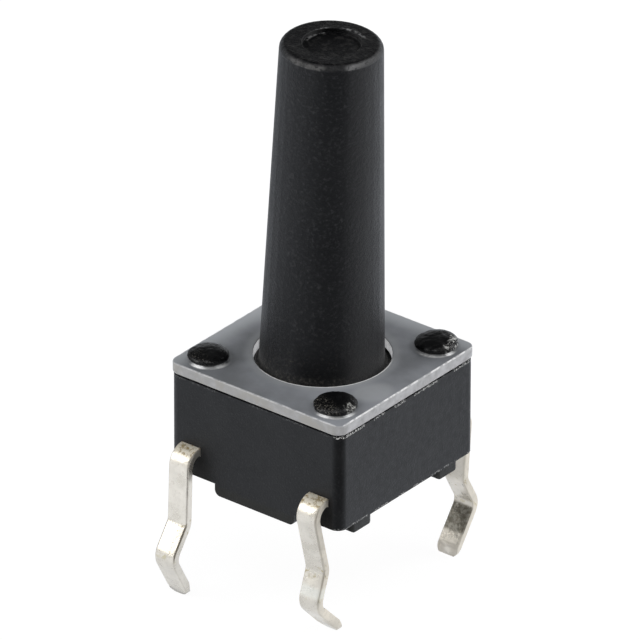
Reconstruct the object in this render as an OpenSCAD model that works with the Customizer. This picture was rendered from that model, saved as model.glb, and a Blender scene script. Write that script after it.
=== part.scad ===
// Tactile push button switch, 6 mm square, with a long round stem and four
// kinked legs for a circuit board. The origin is the middle of the four legs
// on the face of the board. +Z points up the stem, and the legs leave the
// base through its -Y and +Y faces.

/* [Base] */
// Side of the square base
base_w = 6; // [5.8:0.01:6.1]
// Height of the base, from its underside to the cover
base_h = 3; // [2.8:0.05:3.5]
// Radius of the upright corners of the base
base_corner_r = 0.3; // [0.1:0.02:0.4]
// Height of the shadow gap between the base's faces and the cover
gap_h = 0.06; // [0.02:0.01:0.1]
// Depth of the shadow gap, in from the base's faces
gap_d = 0.08; // [0.02:0.01:0.1]
// Height that the ledges and feet hold the base off the board
standoff_h = 0.35; // [0.2:0.05:0.6]
// Diameter of the round well for the dome
well_d = 4.5; // [4.4:0.02:4.6]
// Plastic that covers the contact strips at the floor of the well
floor_skin = 0.1; // [0.06:0.01:0.2]

/* [Ledges and feet] */
// Length of the ledge under each leg face
ledge_l = 2.8; // [2.2:0.1:3.2]
// Depth of each ledge, in from its face
ledge_d = 0.8; // [0.5:0.05:1.2]
// Radius of the lower ends of each ledge
ledge_end_r = 0.18; // [0.05:0.01:0.2]
// Length of each foot, along its side
foot_l = 1; // [0.8:0.05:1.4]
// Width of each foot
foot_w = 0.8; // [0.5:0.05:1]
// Inset of each foot from the side of the base
foot_inset = 0.09; // [0.05:0.01:0.3]
// Distance between the middles of the two feet along one side
foot_pitch = 3.8; // [3.4:0.05:4]
// Radius of the lower ends of each foot
foot_end_r = 0.2; // [0.05:0.01:0.2]
// Corner radius of each foot, seen from below
foot_corner_r = 0.2; // [0.05:0.01:0.24]

/* [Cover] */
// Side of the square cover plate
cover_w = 6.06; // [5.9:0.01:6.2]
// Thickness of the cover plate
cover_t = 0.32; // [0.25:0.01:0.5]
// Radius of the corners of the cover plate
cover_corner_r = 0.32; // [0.1:0.02:0.5]
// Diameter of the cover's round hole, as a share of the cover's side
hole_share = 0.635; // [0.62:0.005:0.66]

/* [Posts] */
// Distance from each side of the cover to the middle of its posts
post_inset = 0.81; // [0.75:0.01:0.85]
// Diameter of each post where it passes the cover
post_d = 0.9; // [0.7:0.02:1]
// Clearance around each post in the cover
post_clear = 0.02; // [0.01:0.01:0.05]
// Diameter of the raised lip around each post, on the cover
lip_d = 1.04; // [1:0.02:1.2]
// Height of each raised lip, whose edge is a quarter round
lip_h = 0.05; // [0.03:0.01:0.08]
// Diameter of each melted head
head_d = 1.08; // [1.02:0.02:1.3]
// Height of each melted head above its lip
head_h = 0.24; // [0.2:0.01:0.3]
// Radius of the round edge of each melted head
head_edge_r = 0.08; // [0.05:0.01:0.1]

/* [Plunger] */
// Height of the stem's top above the cover
stem_h = 9.67; // [4:0.01:12]
// Clearance around the stem's foot in the cover's hole
stem_clear = 0.18; // [0.16:0.005:0.4]
// Diameter that the stem loses from its foot to its top
stem_taper = 0.63; // [0.3:0.01:0.8]
// Radius of the rounded rim at the stem's top
rim_r = 0.2; // [0.05:0.01:0.3]
// Width of the rim around the shallow recess in the stem's top
recess_margin = 0.61; // [0.4:0.01:0.8]
// Depth of the recess in the stem's top
recess_h = 0.12; // [0.05:0.01:0.4]
// Clearance around the collar in the cover's hole
collar_clear = 0.09; // [0.07:0.01:0.12]
// Depth of the collar's top below the cover's top
collar_drop = 0.22; // [0.08:0.01:0.26]
// Clearance around the flange in the well
flange_clear = 0.13; // [0.11:0.01:0.15]
// Thickness of the flange under the cover
flange_t = 0.45; // [0.3:0.01:0.6]
// Diameter of the nub that presses the dome
nub_d = 1.8; // [1.2:0.05:2.4]
// Gap left between faces that only just meet
touch_gap = 0.01; // [0.005:0.005:0.02]
// Lean of the loose plunger in its hole, in degrees
stem_lean = 1.45; // [0:0.01:2]
// Height above the cover of the point that the plunger leans about
lean_z = 0.8; // [0:0.1:2]
// Direction that the plunger leans to, in degrees from +X towards +Y
lean_dir = 38.5; // [0:0.5:360]

/* [Dome] */
// Thickness of the snap dome
dome_t = 0.06; // [0.04:0.01:0.08]
// Height of the snap dome from its rim to the top of its crown
dome_h = 0.38; // [0.34:0.01:0.42]
// Clearance around the dome in the well
dome_clear = 0.15; // [0.1:0.01:0.2]
// Travel of the plunger to the click
travel = 0.25; // [0.15:0.01:0.27]

/* [Terminals] */
// Thickness of the terminal strip
strip_t = 0.25; // [0.2:0.01:0.3]
// Width of the terminal strip and its legs
strip_w = 0.7; // [0.5:0.05:0.8]
// Height of the strips' top face above the board
strip_z = 1.28; // [1.2:0.02:1.4]
// Distance between the two legs on one face
leg_pitch = 4.5; // [4.4:0.05:4.7]
// Width of the tongue to the centre contact
tongue_w = 1; // [0.7:0.05:1.2]
// Diameter of the centre contact
centre_pad_d = 0.9; // [0.6:0.05:1.2]
// Diameter of each of the four pads under the dome's rim
rim_pad_d = 0.6; // [0.4:0.05:0.65]
// Angle of the rim pads around the well, from the X axis
rim_pad_angle = 52; // [48:1:55]
// Height of the rim pads above the floor of the well
rim_pad_proud = 0.03; // [0.01:0.01:0.05]

/* [Legs] */
// Length of a leg below the face of the board
leg_below = 3.2; // [3:0.05:4]
// Straight strip between the base's face and the first bend
exit_l = 0.01; // [0:0.01:0.1]
// Inner radius of the bend where a leg turns down on the -Y face
shoulder_my_r = 0.3; // [0.1:0.01:0.4]
// Inner radius of the bend where a leg turns down on the +Y face
shoulder_py_r = 0.16; // [0.1:0.01:0.4]
// Inner radius of the bends of the kink
kink_r = 0.29; // [0.1:0.01:0.35]
// Length of the upper straight of a leg
upper_l = 1.57; // [1.3:0.01:1.8]
// Length of the straight in the kink
kink_l = 0.7; // [0.5:0.02:1]
// Angle that the kink turns outward
kink_out = 33.5; // [20:0.5:38]
// Angle that the tip turns back inward
kink_in = 64; // [50:0.5:68]
// Outward lean of the leg at -X -Y, in degrees
lean_mx_my = 2; // [-16:1:6]
// Outward lean of the leg at +X -Y, in degrees
lean_px_my = -14; // [-16:1:6]
// Outward lean of the leg at +X +Y, in degrees
lean_px_py = -5; // [-16:1:6]
// Outward lean of the leg at -X +Y, in degrees
lean_mx_py = -3; // [-16:1:6]
// Corner radius of a leg's tip, seen from its broad side
tip_corner_r = 0.28; // [0.05:0.01:0.3]
// Length of the bevel on the inner side of a tip
bevel_l = 0.35; // [0.1:0.05:0.5]
// Depth of the bevel on the inner side of a tip
bevel_d = 0.12; // [0.05:0.01:0.18]

/* [Hidden] */
$fn = 96;
// Degrees of a strip's bend in one flat
arc_step = 6;

black = [0.13, 0.13, 0.14];
clear_grey = [0.62, 0.66, 0.7, 0.7];
steel = [0.8, 0.8, 0.78];
tin = [0.86, 0.85, 0.82];

// Heights above the board
base_top = standoff_h + base_h;
cover_top = base_top + cover_t;
lip_top = cover_top + lip_h;
floor_z = strip_z + floor_skin;
rim_pad_top = floor_z + rim_pad_proud;
crown_z = rim_pad_top + dome_h;

// Dome: its crown is a part of a sphere over the rim
dome_r = well_d / 2 - dome_clear;
crown_r = (dome_r * dome_r + dome_h * dome_h) / (2 * dome_h);
centre_pad_top = crown_z - dome_t - travel;

post_pitch = cover_w - 2 * post_inset;
hole_d = cover_w * hole_share;

// Plunger, along its own axis, whose heights are counted from the point it leans about
pivot_z = cover_top + lean_z;
flange_r = well_d / 2 - flange_clear;
collar_r = hole_d / 2 - collar_clear;
flange_gap = touch_gap + flange_r * sin(stem_lean);
flange_top = base_top - flange_gap - pivot_z;
flange_foot = flange_top - flange_t;
nub_foot = crown_z + touch_gap - pivot_z;
collar_top = cover_top - collar_drop - pivot_z;
stem_top = cover_top + stem_h - pivot_z;
stem_base_d = hole_d - 2 * stem_clear;
stem_top_d = stem_base_d - stem_taper;
recess_d = stem_top_d - 2 * recess_margin;

// Rounded rim of the stem, which meets the tapered side and the flat top
taper = (stem_base_d - stem_top_d) / 2 / (stem_top - collar_top);
slant = sqrt(1 + taper * taper);
rim_z = stem_top - rim_r;
rim_x = stem_top_d / 2 + rim_r * taper - rim_r * slant;

// Terminals
strip_mid = strip_z - strip_t / 2;
strip_x = leg_pitch / 2;
pad_x = (dome_r - dome_t) * cos(rim_pad_angle);
pad_y = (dome_r - dome_t) * sin(rim_pad_angle);
kink_mid_r = kink_r + strip_t / 2;

// A leg's headings, in degrees outward from straight down
function kink_heading(lean) = lean + kink_out;
function tip_heading(lean) = lean + kink_out - kink_in;

// Height lost along a bend between two headings
function bend_fall(r, from, to) = r * abs(sin(to) - sin(from));

// Height of the middle of the strip where the tip's straight begins
function tip_start_z(lean, shoulder) = strip_mid
    - bend_fall(shoulder, 90, lean)
    - upper_l * cos(lean)
    - bend_fall(kink_mid_r, lean, kink_heading(lean))
    - kink_l * cos(kink_heading(lean))
    - bend_fall(kink_mid_r, kink_heading(lean), tip_heading(lean));

// Length of the tip's straight, which ends at the same depth on every leg
function tip_l(lean, shoulder) = (tip_start_z(lean, shoulder) + leg_below
    - strip_t / 2 * abs(sin(tip_heading(lean)))) / cos(tip_heading(lean));

// Unit steps along a heading and towards the outer side of the strip
function ahead(heading) = [sin(heading), -cos(heading)];
function outward(heading) = [cos(heading), sin(heading)];

// One edge of a bent strip, off its middle line, in steps of [straight, turn, radius]
function strip_edge(steps, off, at, heading, i = 0) =
    i == len(steps) ? [] :
    let(
        end = at + steps[i][0] * ahead(heading),
        turn = steps[i][1],
        side = sign(turn),
        r = side * steps[i][2],
        centre = end + r * outward(heading),
        parts = ceil(abs(turn) / arc_step)
    )
    concat(
        [for (part = [0:parts]) centre - (r - off) * outward(heading + turn * part / parts)],
        strip_edge(steps, off, centre - r * outward(heading + turn), heading + turn, i + 1)
    );

// Middle line's point where the tip's straight begins
function bends_end(steps, at, heading, i = 0) =
    i == len(steps) ? at :
    let(
        turn = steps[i][1],
        r = sign(turn) * steps[i][2],
        centre = at + steps[i][0] * ahead(heading) + r * outward(heading)
    )
    bends_end(steps, centre - r * outward(heading + turn), heading + turn, i + 1);

function reversed(list) = [for (i = [len(list) - 1:-1:0]) list[i]];

module rounded_oblong(length, width, r) {
    square([length, width - 2 * r], center = true);
    square([length - 2 * r, width], center = true);
    for (x = [-1, 1], y = [-1, 1])
        translate([x * (length / 2 - r), y * (width / 2 - r)])
            circle(r);
}

module rounded_square(side, r) {
    rounded_oblong(side, side, r);
}

// Standing block whose lower ends are round; its length runs along X
module standing_block(length, width, height, end_r) {
    rotate([90, 0, 0])
        linear_extrude(height = width, center = true) {
            translate([-length / 2, end_r])
                square([length, height - end_r]);
            translate([-length / 2 + end_r, 0])
                square([length - 2 * end_r, height]);
            for (x = [-1, 1])
                translate([x * (length / 2 - end_r), end_r])
                    circle(end_r);
        }
}

// Foot that is round at its lower ends and at its upright corners
module foot() {
    intersection() {
        standing_block(foot_l, foot_w, standoff_h, foot_end_r);
        linear_extrude(height = standoff_h)
            rounded_oblong(foot_l, foot_w, foot_corner_r);
    }
}

module post_places() {
    for (x = [-1, 1], y = [-1, 1])
        translate([x * post_pitch / 2, y * post_pitch / 2])
            children();
}

module rim_pad_places() {
    for (x = [-1, 1], y = [-1, 1])
        translate([x * pad_x, y * pad_y])
            children();
}

// Raised lip: a low disc whose edge is a quarter round
module post_lip() {
    rotate_extrude()
        intersection() {
            square([lip_d / 2, lip_h]);
            union() {
                square([lip_d / 2 - lip_h, lip_h]);
                translate([lip_d / 2 - lip_h, 0])
                    circle(lip_h);
            }
        }
}

// Melted head: a disc with a round edge and a domed top
module post_head() {
    flat_r = head_d / 2 - head_edge_r;
    dome = head_h - 2 * head_edge_r;
    ball_r = (flat_r * flat_r + dome * dome) / (2 * dome);
    rotate_extrude() {
        square([flat_r, 2 * head_edge_r]);
        intersection() {
            square([flat_r, head_h]);
            translate([0, head_h - ball_r])
                circle(ball_r);
        }
        translate([flat_r, head_edge_r])
            circle(head_edge_r);
    }
}

// Side view of one leg and its half of the strip, from the middle of the base
module leg_side(lean, shoulder) {
    start = [0, strip_mid];
    half = strip_t / 2;
    bends = [
        [base_w / 2 + exit_l, lean - 90, shoulder],
        [upper_l, kink_out, kink_mid_r],
        [kink_l, -kink_in, kink_mid_r]
    ];
    last = tip_heading(lean);
    tip_end = bends_end(bends, start, 90) + tip_l(lean, shoulder) * ahead(last);
    polygon(concat(
        [start + [0, half]],
        strip_edge(bends, half, start, 90),
        [
            tip_end + half * outward(last),
            tip_end + (bevel_d - half) * outward(last),
            tip_end - bevel_l * ahead(last) - half * outward(last)
        ],
        reversed(strip_edge(bends, -half, start, 90)),
        [start - [0, half]]
    ));
}

// Front view of a leg, which rounds the corners of its tip
module leg_front() {
    top = strip_z + leg_below;
    translate([-strip_w / 2, tip_corner_r - leg_below])
        square([strip_w, top - tip_corner_r]);
    translate([tip_corner_r - strip_w / 2, -leg_below])
        square([strip_w - 2 * tip_corner_r, top]);
    for (x = [-1, 1])
        translate([x * (strip_w / 2 - tip_corner_r), tip_corner_r - leg_below])
            circle(tip_corner_r);
}

// Two legs and the strip between them, along Y
module leg_pair(lean_my, lean_py) {
    intersection() {
        rotate([90, 0, 90])
            linear_extrude(height = strip_w, center = true) {
                leg_side(lean_py, shoulder_py_r + strip_t / 2);
                mirror([1, 0])
                    leg_side(lean_my, shoulder_my_r + strip_t / 2);
            }
        rotate([90, 0, 0])
            linear_extrude(height = 4 * base_w, center = true)
                leg_front();
    }
}

// Flat part of a terminal that runs from its strip at +X towards -X
module arm(from_x, to_x, y, width) {
    translate([to_x, y - width / 2, strip_z - strip_t])
        cube([from_x - to_x, width, strip_t]);
}

// Strip inside the base and the tongue under the middle of the dome
module centre_frame() {
    translate([-strip_x, 0, strip_mid])
        cube([strip_w, base_w, strip_t], center = true);
    arm(0, -strip_x, 0, tongue_w);
    translate([0, 0, strip_z - strip_t])
        cylinder(d = tongue_w, h = strip_t);
    translate([0, 0, strip_z - strip_t])
        cylinder(d = centre_pad_d, h = centre_pad_top - strip_z + strip_t);
}

// Strip inside the base and the arms and pads under the dome's rim
module outer_frame() {
    translate([strip_x, 0, strip_mid])
        cube([strip_w, base_w, strip_t], center = true);
    for (y = [-1, 1])
        arm(strip_x, -pad_x - rim_pad_d / 2, y * pad_y, rim_pad_d);
    translate([0, 0, strip_z - strip_t])
        rim_pad_places()
            cylinder(d = rim_pad_d, h = rim_pad_top - strip_z + strip_t);
}

// Openings in the base's faces where the strips leave it
module strip_exits() {
    for (x = [-1, 1])
        translate([x * strip_x, 0, strip_mid])
            cube([strip_w, base_w + strip_t, strip_t], center = true);
}

module base() {
    color(black) {
        difference() {
            union() {
                translate([0, 0, standoff_h])
                    linear_extrude(height = base_h - gap_h)
                        rounded_square(base_w, base_corner_r);
                translate([0, 0, standoff_h])
                    linear_extrude(height = base_h)
                        rounded_square(base_w - 2 * gap_d, base_corner_r);
            }
            translate([0, 0, floor_z])
                cylinder(d = well_d, h = base_h);
            centre_frame();
            outer_frame();
            strip_exits();
        }
        for (y = [-1, 1])
            translate([0, y * (base_w - ledge_d) / 2, 0])
                standing_block(ledge_l, ledge_d, standoff_h, ledge_end_r);
        for (x = [-1, 1], y = [-1, 1])
            translate([x * ((base_w - foot_w) / 2 - foot_inset), y * foot_pitch / 2, 0])
                rotate([0, 0, 90])
                    foot();
        post_places() {
            translate([0, 0, base_top])
                cylinder(d = post_d, h = lip_top - base_top);
            translate([0, 0, lip_top])
                post_head();
        }
    }
}

module cover() {
    color(clear_grey)
        translate([0, 0, base_top])
            difference() {
                union() {
                    linear_extrude(height = cover_t)
                        rounded_square(cover_w, cover_corner_r);
                    translate([0, 0, cover_t])
                        post_places()
                            post_lip();
                }
                translate([0, 0, -cover_t])
                    cylinder(d = hole_d, h = 3 * cover_t);
                translate([0, 0, -cover_t])
                    post_places()
                        cylinder(d = post_d + 2 * post_clear, h = 3 * cover_t);
            }
}

module plunger() {
    color(black)
        translate([0, 0, pivot_z])
            rotate([0, 0, lean_dir])
                rotate([0, stem_lean, 0])
                    difference() {
                        rotate_extrude() {
                            polygon([
                                [0, nub_foot],
                                [nub_d / 2, nub_foot],
                                [nub_d / 2, flange_foot],
                                [flange_r, flange_foot],
                                [flange_r, flange_top],
                                [collar_r, flange_top],
                                [collar_r, collar_top],
                                [stem_base_d / 2, collar_top],
                                [rim_x + rim_r / slant, rim_z + rim_r * taper / slant],
                                [rim_x, rim_z],
                                [rim_x, stem_top],
                                [0, stem_top]
                            ]);
                            translate([rim_x, rim_z])
                                circle(rim_r);
                        }
                        translate([0, 0, stem_top - recess_h])
                            cylinder(d = recess_d, h = 2 * recess_h);
                    }
}

module contact_dome() {
    ball_z = crown_z - crown_r;
    color(steel)
        translate([0, 0, rim_pad_top])
            rotate_extrude()
                intersection() {
                    square([dome_r, dome_h]);
                    translate([0, ball_z - rim_pad_top])
                        difference() {
                            circle(crown_r);
                            circle(crown_r - dome_t);
                        }
                }
}

module centre_terminal() {
    color(tin) {
        centre_frame();
        translate([-strip_x, 0, 0])
            leg_pair(lean_mx_my, lean_mx_py);
    }
}

module outer_terminal() {
    color(tin) {
        outer_frame();
        translate([strip_x, 0, 0])
            leg_pair(lean_px_my, lean_px_py);
    }
}

base();
cover();
plunger();
contact_dome();
centre_terminal();
outer_terminal();
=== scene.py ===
import math

import bmesh
import bpy
from mathutils import Matrix, Vector, noise

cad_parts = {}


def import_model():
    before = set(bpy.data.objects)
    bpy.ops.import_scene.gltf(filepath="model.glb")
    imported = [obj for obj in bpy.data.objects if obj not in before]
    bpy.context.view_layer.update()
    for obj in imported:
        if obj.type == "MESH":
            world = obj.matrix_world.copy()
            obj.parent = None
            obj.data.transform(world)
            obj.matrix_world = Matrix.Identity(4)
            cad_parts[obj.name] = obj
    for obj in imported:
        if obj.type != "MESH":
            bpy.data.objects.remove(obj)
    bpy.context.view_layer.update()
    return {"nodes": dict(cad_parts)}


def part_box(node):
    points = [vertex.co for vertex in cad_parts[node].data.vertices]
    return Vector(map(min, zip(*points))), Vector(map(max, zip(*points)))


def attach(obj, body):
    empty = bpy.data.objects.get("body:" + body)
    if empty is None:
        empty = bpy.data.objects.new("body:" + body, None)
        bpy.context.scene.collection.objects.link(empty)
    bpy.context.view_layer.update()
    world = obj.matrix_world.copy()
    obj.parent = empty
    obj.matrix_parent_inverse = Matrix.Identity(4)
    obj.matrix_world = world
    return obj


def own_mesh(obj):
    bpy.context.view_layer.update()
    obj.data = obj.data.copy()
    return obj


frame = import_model()
nodes = frame["nodes"]
scene = bpy.context.scene
MM = 0.001

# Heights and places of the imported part, in millimetres
BASE_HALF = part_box("base")[1].x / MM
BASE_EDGE_Z = 0.36
COVER_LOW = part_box("cover")[0].z / MM
LIP_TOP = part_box("cover")[1].z / MM
LIP_H = 0.05
LIP_R = 0.52
COVER_HIGH = LIP_TOP - LIP_H
COVER_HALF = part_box("cover")[1].x / MM
HOLE_R = 1.924
POST = COVER_HALF - 0.81
STEM_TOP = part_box("plunger")[1].z / MM
# Centre of the leaning stem's top, and the radius of the recess in it
TOP_X = 0.248
TOP_Y = 0.1975
RECESS_R = 0.85
# Height over the cover up to which the stem's foot is dusty
FOOT_H = 1.3
# The legs' faces, their bends and the bright band before their ends
LEG_FACE = 2.9
UPPER_BEND_Z = -1.0
LOWER_BEND_Z = -1.72
LEG_END_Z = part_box("outer_terminal")[0].z / MM
BAND_Z = LEG_END_Z + 0.50

# The photo's camera, in degrees and millimetres, and its picture's scale
AZIMUTH = 38.54
ELEVATION = 28.94
ROLL = 0.14
DISTANCE = 400
AIM_Z = 1.93
AIM_ACROSS = -0.069
AIM_UP = 2.421
PIXELS_PER_MM = 36.227
PICTURE_PIXELS = 640
SENSOR = 36

# Directions over the board, towards the front of the photo and to its right
FRONT = (math.sin(math.radians(AZIMUTH)), -math.cos(math.radians(AZIMUTH)))
RIGHT = (math.cos(math.radians(AZIMUTH)), math.sin(math.radians(AZIMUTH)))


# Small kit for shader trees

class Value:
    """A number or colour that a shader works out for each point, open to plain arithmetic."""

    def __init__(self, graph, socket):
        self.graph = graph
        self.socket = socket

    def __add__(self, other):
        return self.graph.math("ADD", self, other)

    def __sub__(self, other):
        return self.graph.math("SUBTRACT", self, other)

    def __rsub__(self, other):
        return self.graph.math("SUBTRACT", other, self)

    def __mul__(self, other):
        return self.graph.math("MULTIPLY", self, other)

    def __truediv__(self, other):
        return self.graph.math("DIVIDE", self, other)

    def __neg__(self):
        return self * -1.0

    def __abs__(self):
        return self.graph.math("ABSOLUTE", self)


class Graph:
    """A shader tree, and short ways to add nodes to it."""

    def __init__(self, tree):
        self.tree = tree

    def add(self, kind, **settings):
        node = self.tree.nodes.new(kind)
        for name, setting in settings.items():
            setattr(node, name, setting)
        return node

    def put(self, socket, value):
        """Links a value to a socket, or sets the socket to a plain number, vector or colour."""
        if isinstance(value, Value):
            value = value.socket
        if isinstance(value, bpy.types.NodeSocket):
            self.tree.links.new(value, socket)
        elif socket.type == "RGBA":
            socket.default_value = (*value, 1.0)
        else:
            socket.default_value = value

    def math(self, operation, *terms):
        node = self.add("ShaderNodeMath", operation=operation)
        for socket, term in zip(node.inputs, terms):
            self.put(socket, term)
        return Value(self, node.outputs[0])

    def larger(self, a, b):
        return self.math("MAXIMUM", a, b)

    def length(self, x, y):
        return self.math("SQRT", x * x + y * y)

    def along(self, direction, x, y):
        """How far a point lies along a direction over the board."""
        return x * direction[0] + y * direction[1]

    def span(self, value, low, high, to_low=0.0, to_high=1.0):
        """A smooth step between two levels, while a value goes from low to high."""
        node = self.add("ShaderNodeMapRange", interpolation_type="SMOOTHSTEP")
        ends = {"Value": value, "From Min": low, "From Max": high, "To Min": to_low, "To Max": to_high}
        for name, end in ends.items():
            self.put(node.inputs[name], end)
        return Value(self, node.outputs["Result"])

    def fade(self, value, low, high, peak=1.0):
        """A smooth fall from a peak to nothing, while a value goes from low to high."""
        return self.span(value, low, high, peak, 0.0)

    def near(self, value, centre, inner, outer, peak=1.0):
        """A peak where a value is within inner of a centre, which fades out at outer."""
        return self.fade(abs(value - centre), inner, outer, peak)

    def mix(self, share, a, b):
        """The colour a, with a share of the colour b."""
        node = self.add("ShaderNodeMix", data_type="RGBA")
        for index, value in ((0, share), (6, a), (7, b)):
            self.put(node.inputs[index], value)
        return Value(self, node.outputs[2])

    def xyz(self, vector):
        node = self.add("ShaderNodeSeparateXYZ")
        self.put(node.inputs[0], vector)
        return [Value(self, part) for part in node.outputs]

    def switch(self, share, a, b):
        """The shader a, and the shader b where the share is 1."""
        node = self.add("ShaderNodeMixShader")
        for socket, value in zip(node.inputs, (share, a, b)):
            self.put(socket, value)
        return node.outputs[0]

    def light(self, kind, colour, strength):
        """A shader that shines, either Emission or Background."""
        node = self.add(kind)
        self.put(node.inputs["Color"], colour)
        self.put(node.inputs["Strength"], strength)
        return node.outputs[0]

    def by_ray(self, other, mirrored, seen):
        """One shader for lighting, one for reflections, and one for what the camera sees."""
        ray = self.add("ShaderNodeLightPath")
        first = self.switch(ray.outputs["Is Glossy Ray"], other, mirrored)
        direct = self.larger(ray.outputs["Is Camera Ray"], ray.outputs["Is Transmission Ray"])
        return self.switch(direct, first, seen)


class Surface(Graph):
    """A material with a Principled shader, with places in millimetres."""

    def __init__(self, name):
        self.mat = bpy.data.materials.new(name)
        self.mat.use_nodes = True
        super().__init__(self.mat.node_tree)
        self.bsdf = self.tree.nodes["Principled BSDF"]
        self.out = self.tree.nodes["Material Output"]
        coords = self.add("ShaderNodeTexCoord")
        scale = self.add("ShaderNodeVectorMath", operation="SCALE")
        scale.inputs["Scale"].default_value = 1 / MM
        self.put(scale.inputs[0], coords.outputs["Object"])
        self.mm = scale.outputs[0]
        self.normal = coords.outputs["Normal"]

    def noise(self, scale, detail=3.0, rough=0.5, stretch=None):
        vector = self.mm
        if stretch:
            node = self.add("ShaderNodeVectorMath", operation="MULTIPLY")
            self.put(node.inputs[0], vector)
            self.put(node.inputs[1], stretch)
            vector = node.outputs[0]
        node = self.add("ShaderNodeTexNoise")
        for name, value in (("Vector", vector), ("Scale", scale), ("Detail", detail), ("Roughness", rough)):
            self.put(node.inputs[name], value)
        return Value(self, node.outputs["Fac"])

    def bump(self, height, distance, strength=1.0, under=None):
        """A bumpy normal, the distance in metres, over another one if that is given."""
        node = self.add("ShaderNodeBump")
        for name, value in (("Strength", strength), ("Distance", distance), ("Height", height)):
            self.put(node.inputs[name], value)
        if under is not None:
            self.put(node.inputs["Normal"], under)
        return node.outputs[0]

    def set(self, **values):
        for name, value in values.items():
            self.put(self.bsdf.inputs[name.replace("_", " ")], value)


def from_post(g, x, y):
    """Where a point lies from the nearest post's centre."""
    return [place - g.math("SIGN", place) * POST for place in (x, y)]


# Materials

def base_plastic():
    g = Surface("base_plastic")
    x, y, z = g.xyz(g.mm)
    ny = g.xyz(g.normal)[1]
    cloud = g.noise(0.9, 4, 0.6)
    grain = g.noise(16, 4, 0.65)
    colour = g.mix(g.span(cloud, 0.35, 0.65), (0.0085, 0.0088, 0.0096), (0.0115, 0.0118, 0.0126))
    colour = g.mix(g.span(grain, 0.52, 0.72, 0, 0.6), colour, (0.032, 0.032, 0.033))
    colour = g.mix(g.fade(z, BASE_EDGE_Z - 0.16, BASE_EDGE_Z + 0.02, 0.7), colour, (0.014, 0.0135, 0.0095))
    # Pale specks of flash along the top edge and the lower edge, mostly on the +X side
    speck = g.span(g.noise(24, 2, 0.6), 0.52, 0.57) * g.span(g.noise(2.6, 2, 0.5), 0.42, 0.52)
    near_top = g.near(z, COVER_LOW - 0.085, 0.022, 0.05)
    near_top = near_top * g.span(x, BASE_HALF - 0.4, BASE_HALF - 0.1, 0.10, 1)
    near_foot = g.near(z, BASE_EDGE_Z, 0.03, 0.06, 0.6) * g.span(x, BASE_HALF - 0.3, BASE_HALF - 0.1)
    colour = g.mix(speck * g.larger(near_top, near_foot), colour, (0.80, 0.80, 0.78))
    g.set(Base_Color=colour)
    g.set(Roughness=g.span(g.noise(5, 3, 0.6), 0.3, 0.7, 0.34, 0.46))
    g.set(Specular_IOR_Level=g.span(ny, -0.9, -0.4, 0.28, 0.325))
    soft = g.bump(g.noise(2.6, 3, 0.5), 12e-6, 0.6)
    g.set(Normal=g.bump(grain, 10e-6, 0.9, soft))
    return g.mat


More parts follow.
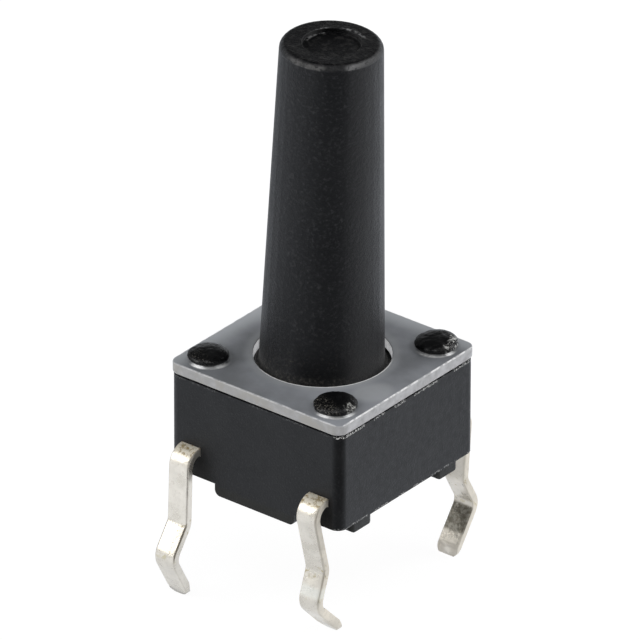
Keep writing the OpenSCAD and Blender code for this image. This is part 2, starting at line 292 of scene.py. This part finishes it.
def stem_plastic():
    g = Surface("stem_plastic")
    x, y, z = g.xyz(g.mm)
    nx, ny, nz = g.xyz(g.normal)
    facing = g.along(RIGHT, nx, ny)
    cloud = g.noise(0.55, 4, 0.6)
    grain = g.noise(10, 5, 0.72)
    coarse = g.noise(7, 4, 0.65)
    streak = g.noise(3.0, 3, 0.6, stretch=(1.0, 1.0, 0.18))
    colour = g.mix(g.span(cloud, 0.35, 0.65), (0.0042, 0.0045, 0.0056), (0.0068, 0.0072, 0.0084))
    colour = g.mix(g.span(grain, 0.50, 0.72, 0, 0.8), colour, (0.042, 0.042, 0.044))
    # Brownish dust at the foot, with painted shade darkest in front and painted light paler to the right
    foot = g.fade(z, COVER_HIGH, COVER_HIGH + FOOT_H)
    # Painted shade down the front of the foot
    middle = g.near(facing, 0.03, 0.28, 0.58) * foot * g.fade(ny, -0.2, 0.2)
    dust = foot * g.span(g.noise(11, 4, 0.7), 0.55, 0.70) * (1.0 - middle * 0.5)
    colour = g.mix(dust * 0.85, colour, (0.078, 0.071, 0.057))
    colour = g.mix(middle * 0.7, colour, (0.0012, 0.0013, 0.0020))
    # Painted light on the foot's right side
    colour = g.mix(foot * g.span(facing, 0.30, 0.70) * 0.6, colour, (0.045, 0.044, 0.042))
    # The collar in the cover's hole is dusty too
    collar = g.fade(z, COVER_HIGH - 0.02, COVER_HIGH + 0.22) * g.span(nz, -0.4, 0.4, 0.35, 1)
    dusty = g.mix(g.span(grain, 0.46, 0.66), (0.010, 0.010, 0.010), (0.070, 0.065, 0.055))
    colour = g.mix(collar * 0.8, colour, dusty)
    # Painted highlights on the top's rim, in two arcs on both sides of the front, paler to the right
    from_x, from_y = x - TOP_X, y - TOP_Y
    side = g.along(RIGHT, from_x, from_y)
    left_arc = g.span(side, -1.40, -1.10) * g.span(side, -0.45, -0.15, 1, 0.10)
    right_arc = g.span(side, 0.20, 0.50, 0, 1.5) * g.fade(side, 1.15, 1.35)
    to_right = g.span(side, 0.0, 0.4)
    rim = g.span(z, STEM_TOP - 0.32, STEM_TOP - 0.16) * g.span(nz, 0.08, 0.28)
    painted_highlight = rim * (left_arc + right_arc) * g.span(to_right * 0.08 + coarse, 0.42, 0.58, 0.20, 1)
    painted_highlight = painted_highlight * g.span(nz, 0.60, 0.90, 1, 0.15)
    pale = g.mix(to_right, (0.125, 0.123, 0.120), (0.21, 0.21, 0.21))
    colour = g.mix(painted_highlight * 0.85, colour, pale)
    # The top's flat ring is dark and rough, and painted shade makes its recess's wall darker still
    flat = g.span(z, STEM_TOP - 0.40, STEM_TOP - 0.10) * g.span(nz, 0.85, 0.97)
    mottled = g.mix(g.span(coarse, 0.50, 0.62, 0, 0.6), (0.0020, 0.0021, 0.0026), (0.030, 0.029, 0.028))
    colour = g.mix(flat, colour, mottled)
    out = g.length(from_x, from_y)
    painted_recess_shade = g.fade(out, RECESS_R - 0.01, RECESS_R + 0.05) * g.span(z, STEM_TOP - 0.50, STEM_TOP - 0.40)
    painted_recess_shade = painted_recess_shade * g.fade(nz, 0.70, 0.90)
    colour = g.mix(painted_recess_shade * 0.9, colour, (0.0018, 0.0019, 0.0023))
    # Painted highlights as pale specks at two places of the recess's far edge
    edge = flat * g.near(out, RECESS_R, 0.02, 0.07) * g.fade(g.along(FRONT, from_x, from_y), -0.5, -0.1)
    edge = edge * g.span(abs(side), 0.12, 0.32)
    colour = g.mix(edge * g.span(coarse, 0.46, 0.56), colour, (0.17, 0.17, 0.17))
    # Painted light makes the right flank paler
    colour = g.mix(g.span(facing, 0.15, 0.70, 0, 0.75) * (1.0 - painted_recess_shade), colour, (0.030, 0.030, 0.031))
    g.set(Base_Color=colour)
    g.set(Roughness=g.span(cloud, 0.3, 0.7, 0.36, 0.46))
    g.set(Specular_IOR_Level=0.31 - middle * 0.15 - g.larger(flat, painted_recess_shade) * 0.21)
    soft = g.bump(streak, 7e-6, 0.4)
    fine = g.bump(grain, 38e-6, 1.0, soft)
    lumps = coarse * g.larger(g.larger(rim, flat), foot * 0.4)
    g.set(Normal=g.bump(lumps, 45e-6, 0.9, fine))
    return g.mat


def cover_plastic():
    g = Surface("cover_plastic")
    x, y, z = g.xyz(g.mm)
    nx, ny, nz = g.xyz(g.normal)
    haze = g.noise(0.6, 4, 0.55)
    cloudy = g.noise(3.0, 4, 0.6)
    from_hole = g.length(x, y) - HOLE_R
    from_rim = COVER_HALF - g.larger(abs(x), abs(y))
    from_front = y + COVER_HALF
    # Smoky top, with painted light paler towards the +X -Y and the -X +Y corners and a painted glow along the
    # far sides
    painted_light_drift = x * 0.008 + y * 0.0215 + (0.040 - x * y * 0.022)
    top = g.mix(g.span(haze + painted_light_drift, 0.25, 0.78), (0.150, 0.157, 0.166), (0.290, 0.302, 0.325))
    far = COVER_HALF - g.larger(-x, y)
    top = g.mix(g.fade(far, 0.08, 0.75, 0.6), top, (0.52, 0.54, 0.56))
    # Painted light: a pale patch between the hole and the +X side, a pale halo round the hole, and a thin
    # painted highlight along the hole's front edge
    patch = g.length(x - 2.5, y + 0.9) + (haze - 0.5) * 1.2
    top = g.mix(g.fade(patch, 0.35, 0.70, 0.40), top, (0.42, 0.43, 0.44))
    top = g.mix(g.fade(from_hole, 0.10, 0.34, 0.30), top, (0.42, 0.43, 0.44))
    ring = g.fade(from_hole, 0.035, 0.070) * g.span(x - y, 0.6, 1.7)
    top = g.mix(ring, top, (0.92, 0.92, 0.90))
    # The sides and the hole's wall are pale where light leaves the sheet
    lit = g.span(cloudy * g.span(nx, 0.1, 0.7, 0.70, 1.0), 0.2, 0.7)
    lit = g.mix(lit, (0.37, 0.37, 0.37), (0.59, 0.59, 0.60))
    warm = g.fade(from_front, 0.02, 0.08) * g.span(g.noise(1.4, 3, 0.6), 0.42, 0.58, 0.2, 1)
    lit = g.mix(warm, lit, (0.40, 0.388, 0.365))
    wall = g.fade(from_hole, 0.02, 0.06) * g.fade(nz, 0.3, 0.7)
    lit = g.mix(wall, lit, (0.95, 0.95, 0.94))
    colour = g.mix(g.fade(abs(nz), 0.35, 0.85), top, lit)
    # Painted highlights as bright lines along the upper and lower edges of the sides
    upper = g.near(z, COVER_HIGH, 0.015, 0.035)
    lower = g.near(z, COVER_LOW, 0.015, 0.035, 0.8)
    painted_edge_lines = g.larger(upper, lower) * g.fade(from_rim, 0.035, 0.055)
    painted_edge_lines = painted_edge_lines * g.span(g.noise(4, 3, 0.6), 0.38, 0.55, 0.35, 1)
    painted_edge_lines = painted_edge_lines * g.span(from_front, 0.06, 0.30, 0.45, 1)
    colour = g.mix(painted_edge_lines, colour, (0.95, 0.95, 0.95))
    # The lips round the posts catch the light in front, most of all at two places
    post_x, post_y = from_post(g, x, y)
    post = g.length(post_x, post_y)
    reach = g.larger(post, 0.1)
    turned = g.along(FRONT, post_x, post_y) / reach
    most = g.larger(post_x * g.span(x, -0.5, 0.5), post_y * g.span(y, -0.5, 0.5, -1, 0)) / reach
    patchy = g.span(g.noise(3.5, 3, 0.6), 0.34, 0.64, 0.30, 0.85)
    lip = g.fade(post, LIP_R + 0.06, LIP_R + 0.15) * g.span(turned, 0.35, 0.85, 0.10, 1)
    lip = lip * g.larger(patchy, g.span(most, 0.88, 0.98)) * g.span(nz, 0.0, 0.05)
    colour = g.mix(lip, colour, (0.92, 0.92, 0.90))
    glow = wall * g.span(cloudy, 0.3, 0.7, 0.22, 0.40) + lip * g.span(most, 0.85, 0.98, 0.06, 0.35)
    g.set(Base_Color=colour)
    g.set(Emission_Color=(0.97, 0.98, 1.0), Emission_Strength=glow)
    g.set(Roughness=g.span(g.noise(1.2, 2, 0.5), 0.3, 0.7, 0.29, 0.35), Specular_IOR_Level=0.5)
    soft = g.bump(g.noise(1.6, 3, 0.5), 10e-6, 0.4)
    g.set(Normal=g.bump(g.noise(9, 4, 0.6), 0.5e-6, 0.5, soft))
    return g.mat


def tinned_brass():
    g = Surface("tinned_brass")
    x, y, z = g.xyz(g.mm)
    nx, ny, nz = g.xyz(g.normal)
    cloud = g.noise(1.8, 4, 0.6)
    fleck = g.noise(9, 5, 0.7)
    colour = g.mix(g.span(cloud, 0.3, 0.7), (0.79, 0.735, 0.635), (0.97, 0.91, 0.80))
    colour = g.mix(g.span(fleck, 0.56, 0.70, 0, 0.45), colour, (0.58, 0.51, 0.40))
    # Rubbed and stained tops of the shoulders
    shoulder = g.span(z, 1.06, 1.18) * g.span(nz, 0.50, 0.80)
    colour = g.mix(shoulder * 0.8, colour, (0.86, 0.80, 0.66))
    colour = g.mix(shoulder * g.fade(fleck, 0.42, 0.50), colour, (0.46, 0.36, 0.20))
    # Yellowish marks at the bends, and a painted highlight above the lower one on the front leg
    mark = g.near(z, UPPER_BEND_Z, 0.08, 0.35) * g.span(g.noise(6, 3, 0.6), 0.58, 0.68)
    colour = g.mix(mark * 0.75, colour, (0.44, 0.35, 0.14))
    mark = g.near(z, LOWER_BEND_Z, 0.05, 0.20) * g.span(g.noise(7, 3, 0.6), 0.52, 0.62)
    colour = g.mix(mark * 0.55, colour, (0.62, 0.54, 0.30))
    painted_highlight = g.near(z, LOWER_BEND_Z + 0.10, 0.08, 0.22) * g.span(x, -0.5, 0.5) * g.fade(y, -0.5, 0.5)
    colour = g.mix(painted_highlight * 0.8, colour, (1.0, 0.985, 0.90))
    # Dull, brownish inner faces of the tips, with a bright band before the end
    outward = ny * g.math("SIGN", y)
    inner = g.fade(outward, -0.55, -0.35) * g.span(nz, 0.15, 0.40)
    inner = inner * g.span(abs(z - BAND_Z), 0.14, 0.24) * g.span(z, -2.95, -2.60, 0.5, 1)
    dull = g.mix(g.span(fleck, 0.42, 0.62), (0.22, 0.20, 0.155), (0.46, 0.435, 0.37))
    colour = g.mix(inner, colour, dull)
    # Darker rolled edges, most below the upper bend
    sideways = abs(nx)
    rolled = g.span(sideways, 0.25, 0.50) * g.fade(sideways, 0.72, 0.92)
    from_bend = abs(z - (UPPER_BEND_Z - 0.35))
    rolled = rolled * g.span(from_bend, 0.35, 0.55, 0.85, 0.15) * g.span(x, -0.5, 0.5, 1, 0.3)
    colour = g.mix(rolled, colour, (0.30, 0.25, 0.18))
    sheen = g.span(cloud, 0.3, 0.7, 0.24, 0.36) + shoulder * 0.16
    sheen = sheen + g.span(sideways, 0.15, 0.40) * g.span(x, -0.5, 0.5, 0, 0.35)
    plain = g.larger(g.fade(outward, -0.75, -0.45), shoulder)
    g.set(Base_Color=colour, Metallic=0.84 - plain * 0.44, Roughness=sheen)
    soft = g.bump(g.noise(3.2, 4, 0.6), 26e-6, 0.9)
    dents = fleck * (shoulder * 1.6 + 0.35)
    g.set(Normal=g.bump(g.noise(26, 3, 0.6) * 0.15 + dents, 16e-6, 0.8, soft))
    return g.mat


def dome_steel():
    g = Surface("dome_steel")
    brushed = g.noise(20, 3, 0.6, stretch=(0.08, 1.0, 1.0))
    g.set(Base_Color=g.mix(brushed, (0.62, 0.62, 0.61), (0.74, 0.74, 0.73)))
    g.set(Metallic=1.0, Roughness=g.span(brushed, 0.3, 0.7, 0.26, 0.38))
    g.set(Normal=g.bump(brushed, 2e-6, 0.5))
    return g.mat


def melted_plastic():
    g = Surface("melted_plastic")
    x, y, z = g.xyz(g.mm)
    nx = g.xyz(g.normal)[0]
    post_x, post_y = from_post(g, x, y)
    lump = g.noise(4, 4, 0.6)
    wrinkle = g.noise(13, 5, 0.7)
    # Brownish specks to -Y
    brown = g.span(post_x * -0.45 - post_y, 0.05, 0.45) * g.fade(y, -0.5, 0.5)
    brown = brown * g.span(x, -1.0, 1.0, 0.35, 0.9) * g.span(g.noise(25, 3, 0.6), 0.56, 0.64)
    colour = g.mix(brown, (0.0020, 0.0020, 0.0024), (0.170, 0.158, 0.135))
    # Painted highlights as pale glints on the flanks to +X, in a wider arc on the right head
    flank = g.span(g.length(post_x, post_y), 0.36, 0.44) * g.span(x, -0.5, 0.5)
    turn = abs(g.math("ARCTAN2", post_y, post_x) - g.span(y, -1, 1, -0.05, 0.26))
    wide = g.span(y, -1, 1, 0.20, 0.58)
    painted_glints = flank * g.fade(turn, wide, wide + 0.16) * g.span(wrinkle, 0.49, 0.57)
    pale = g.mix(g.span(y, -1, 1), (0.34, 0.34, 0.32), (0.54, 0.54, 0.52))
    colour = g.mix(painted_glints, colour, pale)
    g.set(Base_Color=colour, Roughness=g.span(lump, 0.3, 0.7, 0.18, 0.28))
    g.set(Specular_IOR_Level=g.span(nx, -0.5, 0.1, 0.05, 0.40))
    soft = g.bump(lump, 22e-6, 0.6)
    g.set(Normal=g.bump(wrinkle, 11e-6, 1.0, soft))
    return g.mat


# The CAD nodes get fine edges and materials

def marked_edges(attribute, kind, angle, beyond=-1.0):
    """A node group that marks sharp edges further than beyond from y = 0, but not the legs' ends."""
    tree = bpy.data.node_groups.new("marked_edges", "GeometryNodeTree")
    tree.interface.new_socket("Geometry", in_out="INPUT", socket_type="NodeSocketGeometry")
    tree.interface.new_socket("Geometry", in_out="OUTPUT", socket_type="NodeSocketGeometry")
    g = Graph(tree)
    start = g.add("NodeGroupInput")
    end = g.add("NodeGroupOutput")
    x, y, z = g.xyz(g.add("GeometryNodeInputPosition").outputs[0])
    bend = g.add("GeometryNodeInputMeshEdgeAngle").outputs["Unsigned Angle"]
    outside = g.math("GREATER_THAN", abs(y), beyond * MM)
    sharp = g.math("GREATER_THAN", bend, math.radians(angle))
    above = g.math("GREATER_THAN", z, (LEG_END_Z + 0.15) * MM)
    store = g.add("GeometryNodeStoreNamedAttribute", data_type=kind, domain="EDGE")
    store.inputs["Name"].default_value = attribute
    g.put(store.inputs["Geometry"], start.outputs[0])
    g.put(store.inputs["Value"], outside * sharp * above)
    g.put(end.inputs[0], store.outputs[0])
    return tree


def dress(node, mat, edge, segments=2, angle=34, clamp=True, beyond=None, crease=None):
    """Gives a CAD node its material and small rounded edges, in millimetres, through modifiers alone."""
    o = nodes[node]
    o.data.materials.clear()
    o.data.materials.append(mat)
    for polygon in o.data.polygons:
        polygon.use_smooth = True
    weld = o.modifiers.new("weld", "WELD")
    weld.merge_threshold = 0.001 * MM
    flat = o.modifiers.new("flat", "DECIMATE")
    flat.decimate_type = "DISSOLVE"
    flat.angle_limit = math.radians(0.4)
    if beyond is not None:
        mark = o.modifiers.new("mark", "NODES")
        mark.node_group = marked_edges("bevel_weight_edge", "FLOAT", angle, beyond)
    if edge:
        bevel = o.modifiers.new("edges", "BEVEL")
        bevel.width = edge * MM
        bevel.segments = segments
        bevel.limit_method = "ANGLE" if beyond is None else "WEIGHT"
        bevel.angle_limit = math.radians(angle)
        bevel.miter_outer = "MITER_ARC"
        bevel.use_clamp_overlap = clamp
    if crease is not None:
        fold = o.modifiers.new("creases", "NODES")
        fold.node_group = marked_edges("sharp_edge", "BOOLEAN", crease)
    normals = o.modifiers.new("normals", "WEIGHTED_NORMAL")
    normals.keep_sharp = True
    normals.weight = 60


def squash_dome():
    """Gives the dome a mesh of its own."""
    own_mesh(nodes["contact_dome"])


dress("base", base_plastic(), 0.03, crease=20)
dress("cover", cover_plastic(), 0.035, clamp=False)
dress("plunger", stem_plastic(), 0.02)
tin = tinned_brass()
for terminal in ("centre_terminal", "outer_terminal"):
    dress(terminal, tin, 0.065, segments=4, clamp=False, beyond=LEG_FACE)
dress("contact_dome", dome_steel(), 0)
squash_dome()


# The melted post heads, in millimetres

HEAD_RINGS = 30
HEAD_EDGE_RINGS = 6
HEAD_AROUND = 96
HEAD_EDGE_H = 0.08
HEAD_UNDERCUT = 0.07


def head_ring(ring, radius, height):
    """Radius and height of a ring: an undercut edge below, and a quarter of an ellipse above."""
    if ring <= HEAD_EDGE_RINGS:
        rise = ring / HEAD_EDGE_RINGS
        round_edge = math.sqrt(1 - (1 - rise) ** 2)
        return radius * (1 - HEAD_UNDERCUT + HEAD_UNDERCUT * round_edge), HEAD_EDGE_H * rise
    turn = (ring - HEAD_EDGE_RINGS) / (HEAD_RINGS - HEAD_EDGE_RINGS) * math.pi / 2
    return radius * math.cos(turn), HEAD_EDGE_H + (height - HEAD_EDGE_H) * math.sin(turn)


def head_point(ring, turn, seed, radius, height, tilt, lean):
    """A point of a melted head, with a wandering outline, a tilted top and small lumps."""
    out = Vector((math.cos(turn), math.sin(turn), 0))
    wander = 1.016 + 0.016 * noise.noise(out * 1.3 + Vector((seed, 0, 0)))
    wander += 0.008 * noise.noise(out * 4 + Vector((0, seed, 0)))
    full = radius * wander
    r, z = head_ring(ring, full, height)
    z += tilt * (r / full) * (out.x * lean[0] + out.y * lean[1]) * (z / height)
    point = Vector((r * out.x, r * out.y, z))
    lump = noise.fractal(point * 3.4 + Vector((seed * 3.1, seed, 0)), 1.0, 2.0, 3)
    pimple = noise.fractal(point * 9 + Vector((seed, seed * 1.7, 0)), 1.0, 2.0, 2)
    push = (0.016 * (lump + 0.35) + 0.007 * pimple) * min(1.0, ring / 5)
    away = out * (r / full) + Vector((0, 0, z / height))
    return point + away.normalized() * push


def melted_head(name, place, seed, radius, height, tilt=0.0, lean=(1, 0)):
    """One melted head on its post: a lumpy lens that stands on the cover's lip."""
    bm = bmesh.new()
    grid = []
    for ring in range(HEAD_RINGS):
        turns = [2 * math.pi * j / HEAD_AROUND for j in range(HEAD_AROUND)]
        grid.append([bm.verts.new(head_point(ring, turn, seed, radius, height, tilt, lean)) for turn in turns])
    crown = grid[-1]
    tip = bm.verts.new(sum((v.co for v in crown), Vector()) / HEAD_AROUND + Vector((0, 0, 0.0004)))
    for j in range(HEAD_AROUND):
        k = (j + 1) % HEAD_AROUND
        for low, high in zip(grid, grid[1:]):
            bm.faces.new((low[j], low[k], high[k], high[j]))
        bm.faces.new((crown[j], crown[k], tip))
    bm.faces.new(list(reversed(grid[0])))
    for face in bm.faces:
        face.smooth = True
    mesh = bpy.data.meshes.new(name)
    bm.to_mesh(mesh)
    bm.free()
    mesh.transform(Matrix.Scale(MM, 4) @ Matrix.Translation((place[0], place[1], LIP_TOP)))
    mesh.materials.append(MELTED)
    o = bpy.data.objects.new(name, mesh)
    scene.collection.objects.link(o)
    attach(o, "housing")


MELTED = melted_plastic()
melted_head("head_front", (POST, -POST), 1.7, 0.600, 0.27, 0.02, (0.62, 0.78))
melted_head("head_left", (-POST - 0.02, -POST - 0.01), 5.2, 0.566, 0.26, 0.02, (-0.8, 0.6))
melted_head("head_right", (POST + 0.01, POST + 0.02), 9.4, 0.590, 0.29, 0.04, (0.1, 1.0))
melted_head("head_back", (-POST, POST), 13.8, 0.590, 0.26)


# Floor, world, lamps and camera

def floor_mirrored(g):
    """How bright the floor is in reflections: pale to both sides, and dark towards the camera."""
    x, y, z = g.xyz(g.mm)
    across = g.along(RIGHT, x, y)
    turn = g.math("ARCTAN2", across, g.along(FRONT, x, y))
    left = g.span(turn, -0.95, -0.15, 0.90, 0.06) * g.span(turn, -2.0, -1.5, 0.75, 1.0)
    right = g.span(turn, 0.62, 1.40, 0.0, 0.90)
    far = g.span(g.length(x, y), 6.5, 9.0)
    close = (1.0 - far) * g.span(across, -2.0, 4.0, 0.76, 1.05)
    return close + far * g.larger(left, right)


def floor():
    bm = bmesh.new()
    bmesh.ops.create_circle(bm, cap_ends=True, segments=96, radius=0.9)
    mesh = bpy.data.meshes.new("floor")
    bm.to_mesh(mesh)
    bm.free()
    o = bpy.data.objects.new("floor", mesh)
    o.location.z = LEG_END_Z * MM
    scene.collection.objects.link(o)
    g = Surface("floor")
    g.tree.nodes.remove(g.bsdf)
    lighting = g.add("ShaderNodeBsdfDiffuse")
    g.put(lighting.inputs["Color"], (0.75, 0.75, 0.75))
    mirrored = g.light("ShaderNodeEmission", (0.94, 0.98, 1.05), floor_mirrored(g))
    # White with a faint share of the real lighting, which keeps the object's shadow
    shaded = g.add("ShaderNodeBsdfDiffuse")
    g.put(shaded.inputs["Color"], (0.12, 0.12, 0.12))
    both = g.add("ShaderNodeAddShader")
    g.put(both.inputs[0], g.light("ShaderNodeEmission", (1.0, 1.0, 1.0), 0.93))
    g.put(both.inputs[1], shaded.outputs[0])
    g.put(g.out.inputs["Surface"], g.by_ray(lighting.outputs[0], mirrored, both.outputs[0]))
    o.data.materials.append(g.mat)


def world():
    w = bpy.data.worlds.new("studio")
    w.use_nodes = True
    scene.world = w
    g = Graph(w.node_tree)
    g.tree.nodes.clear()
    # In reflections the room is pale at the horizon and dark overhead
    height = g.xyz(g.add("ShaderNodeTexCoord").outputs["Generated"])[2]
    mirrored = g.light("ShaderNodeBackground", (0.96, 0.98, 1.0), g.span(height, 0.12, 0.42, 0.60, 0.10))
    lighting = g.light("ShaderNodeBackground", (0.97, 0.98, 1.0), 0.45)
    white = g.light("ShaderNodeBackground", (1.0, 1.0, 1.0), 1.0)
    out = g.add("ShaderNodeOutputWorld")
    g.put(out.inputs["Surface"], g.by_ray(lighting, mirrored, white))


def lamp(name, towards, distance, size, watts):
    """A square lamp, in metres, that faces the part's middle from a direction."""
    data = bpy.data.lights.new(name, "AREA")
    data.shape = "SQUARE"
    data.size = size
    data.energy = watts
    o = bpy.data.objects.new(name, data)
    scene.collection.objects.link(o)
    away = Vector(towards).normalized()
    o.location = Vector((0, 0, 4 * MM)) + away * distance
    o.rotation_mode = "QUATERNION"
    o.rotation_quaternion = away.to_track_quat("Z", "Y")


def camera():
    rise = math.radians(ELEVATION)
    roll = math.radians(ROLL)
    back = Vector((FRONT[0] * math.cos(rise), FRONT[1] * math.cos(rise), math.sin(rise)))
    level = Vector((RIGHT[0], RIGHT[1], 0))
    upright = back.cross(level)
    right = math.cos(roll) * level + math.sin(roll) * upright
    up = math.cos(roll) * upright - math.sin(roll) * level
    target = Vector((0, 0, AIM_Z)) + AIM_ACROSS * right + AIM_UP * up
    data = bpy.data.cameras.new("camera")
    data.sensor_width = SENSOR
    data.lens = PIXELS_PER_MM * DISTANCE / PICTURE_PIXELS * SENSOR
    data.clip_start = 0.05
    data.clip_end = 5
    o = bpy.data.objects.new("camera", data)
    scene.collection.objects.link(o)
    turn = Matrix((right, up, back)).transposed().to_4x4()
    o.matrix_world = Matrix.Translation((target + back * DISTANCE) * MM) @ turn
    scene.camera = o


floor()
world()
lamp("left_box", (-0.60, -0.60, 0.50), 0.40, 0.26, 0.55)
lamp("right_box", (0.56, 0.56, 0.60), 0.40, 0.26, 0.55)
lamp("top_box", (0.30, -0.70, 1.6), 0.45, 0.22, 0.30)
camera()
scene.view_settings.view_transform = "Standard"
